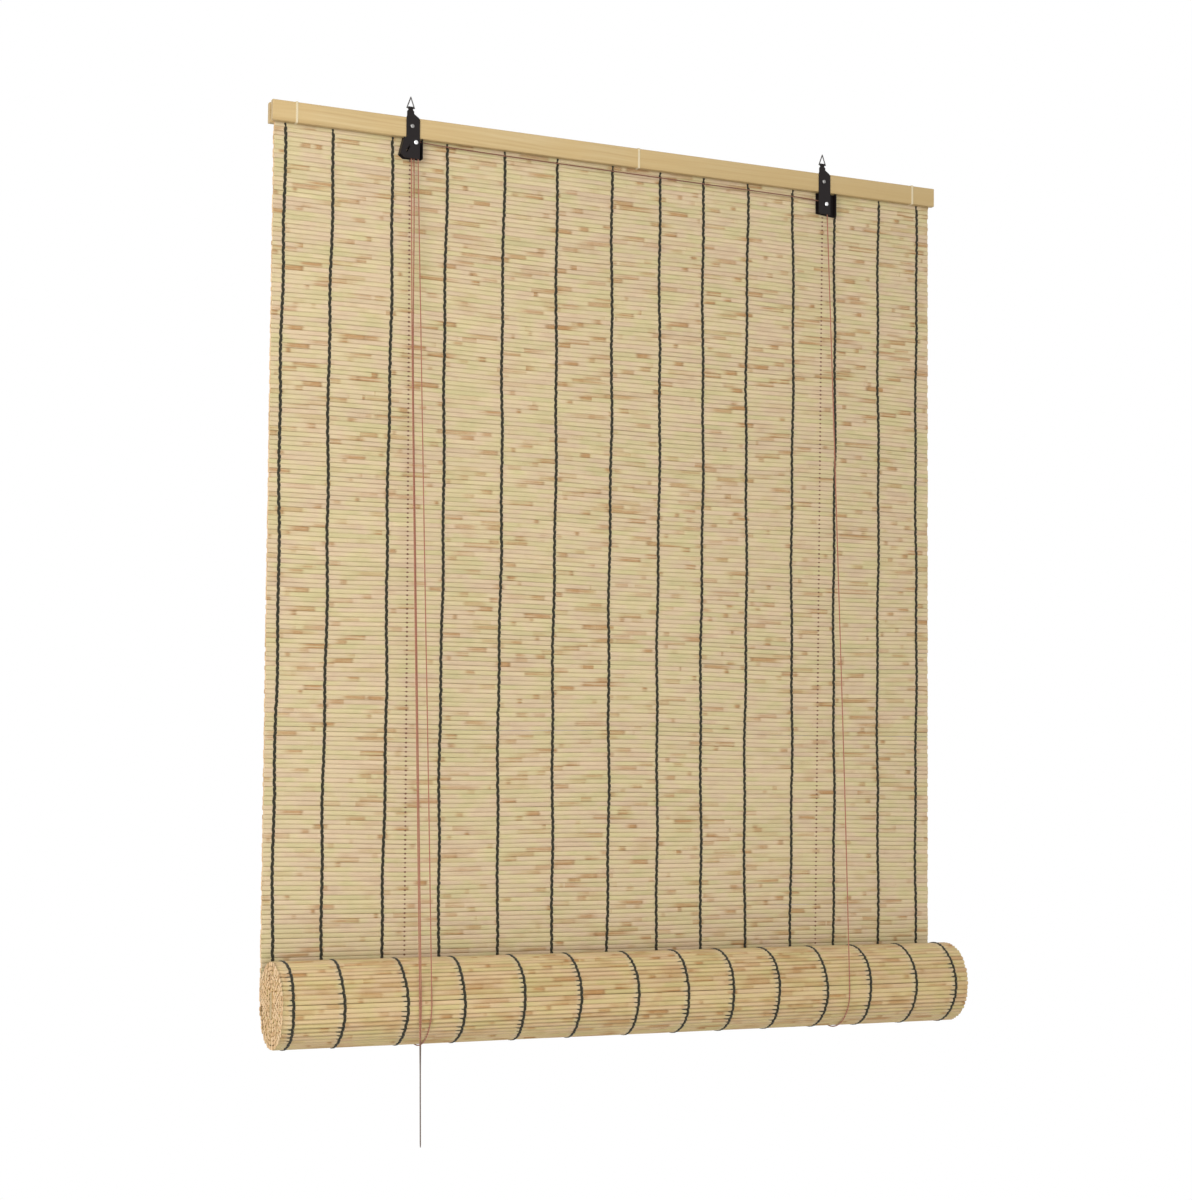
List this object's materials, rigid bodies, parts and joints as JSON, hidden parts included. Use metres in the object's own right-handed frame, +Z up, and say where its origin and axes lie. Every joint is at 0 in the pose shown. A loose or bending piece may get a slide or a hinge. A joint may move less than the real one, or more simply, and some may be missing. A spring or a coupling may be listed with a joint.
{
  "type": "roll up blind",
  "caption": "Reed roll up blind hung from a slatted headrail, with pulley hooks, a cord lock, lift cords and a roll at its foot.",
  "frame": {"origin": "centre of the headrail's back face, on the wall plane, at half of the rail's height", "axes": "+X to the right along the headrail as seen from the room, +Z up, +Y into the wall, so the room is at -Y"},
  "size_m": [1.014, 0.1226, 1.3795],
  "materials": {
    "batten_wood": "planed, lightly sealed",
    "reed": "natural reed with brown streaks",
    "warp_string": "twisted dark cotton string",
    "cord": "braided lift cord",
    "tie_string": "pale flat tie",
    "black_steel": "black enamel, satin",
    "bright_steel": "nickel plated",
    "pulley_plastic": "moulded dark plastic"
  },
  "bodies": {
    "headrail": {"front_batten": "batten_wood", "back_batten": "batten_wood", "rail_ties": "tie_string", "rail_brads": "bright_steel", "hanging_mat": "reed", "front_strings": "warp_string", "back_strings": "warp_string", "left_strap": "black_steel", "left_lock_housing": "black_steel", "left_screw": "bright_steel", "left_axle": "bright_steel", "right_strap": "black_steel", "right_housing": "black_steel", "right_screw": "bright_steel", "right_axle": "bright_steel", "left_lift_front": "cord", "left_lift_back": "cord", "right_lift_front": "cord", "right_lift_back": "cord", "cross_cord": "cord", "pull_cord_a_upper": "cord", "pull_cord_b_upper": "cord"},
    "left_ring": {"left_ring": "bright_steel"},
    "right_ring": {"right_ring": "bright_steel"},
    "left_front_wheel": {"left_front_wheel": "pulley_plastic"},
    "left_rear_wheel": {"left_rear_wheel": "pulley_plastic"},
    "right_wheel": {"right_wheel": "pulley_plastic"},
    "lock_roller": {"lock_roller": "black_steel"},
    "lift_bights": {"left_lift_bight": "cord", "right_lift_bight": "cord"},
    "roll": {"rolled_mat": "reed", "roll_strings": "warp_string", "bottom_slat": "batten_wood"},
    "pull_cords": {"pull_cord_a_lower": "cord", "pull_cord_b_lower": "cord"}
  },
  "joints": [
    {"name": "roll_lift", "type": "slide", "parent": "headrail", "child": "lift_bights", "axis": [0, 0, 1], "range_m": [0, 0.9934], "deforming": ["hanging_mat", "front_strings", "back_strings", "left_lift_front", "left_lift_back", "right_lift_front", "right_lift_back", "pull_cord_a_upper", "pull_cord_b_upper"]},
    {"name": "roll_turn", "type": "hinge", "parent": "lift_bights", "child": "roll", "pos_m": [0, -0.0648, -1.159], "axis": [1, 0, 0], "range_deg": [-1080, 0]},
    {"name": "cord_pull", "type": "slide", "parent": "lift_bights", "child": "pull_cords", "axis": [0, 0, 1], "range_m": [-2.9802, 0]},
    {"name": "left_ring_hinge", "type": "hinge", "parent": "headrail", "child": "left_ring", "pos_m": [-0.3179, -0.0248, 0.026], "axis": [1, 0, 0], "range_deg": [-110, 110]},
    {"name": "right_ring_hinge", "type": "hinge", "parent": "headrail", "child": "right_ring", "pos_m": [0.3151, -0.0248, 0.026], "axis": [1, 0, 0], "range_deg": [-110, 110]},
    {"name": "left_front_wheel_spin", "type": "hinge", "parent": "headrail", "child": "left_front_wheel", "pos_m": [-0.31, -0.0221, -0.02], "axis": [0, 1, 0], "continuous": true},
    {"name": "left_rear_wheel_spin", "type": "hinge", "parent": "headrail", "child": "left_rear_wheel", "pos_m": [-0.31, -0.0183, -0.02], "axis": [0, 1, 0], "continuous": true},
    {"name": "right_wheel_spin", "type": "hinge", "parent": "headrail", "child": "right_wheel", "pos_m": [0.322, -0.0183, -0.031], "axis": [0, 1, 0], "continuous": true},
    {"name": "lock_roller_slide", "type": "slide", "parent": "headrail", "child": "lock_roller", "axis": [-0.4848, 0, -0.8746], "range_m": [0, 0.009]}
  ],
  "couplings": [
    {"joint": "roll_turn", "follows": "roll_lift", "rad_per_m": -18.975},
    {"joint": "cord_pull", "follows": "roll_lift", "ratio": -3},
    {"joint": "left_front_wheel_spin", "follows": "roll_lift", "rad_per_m": -425.5},
    {"joint": "left_rear_wheel_spin", "follows": "roll_lift", "rad_per_m": -425.5},
    {"joint": "right_wheel_spin", "follows": "roll_lift", "rad_per_m": -425.5}
  ]
}
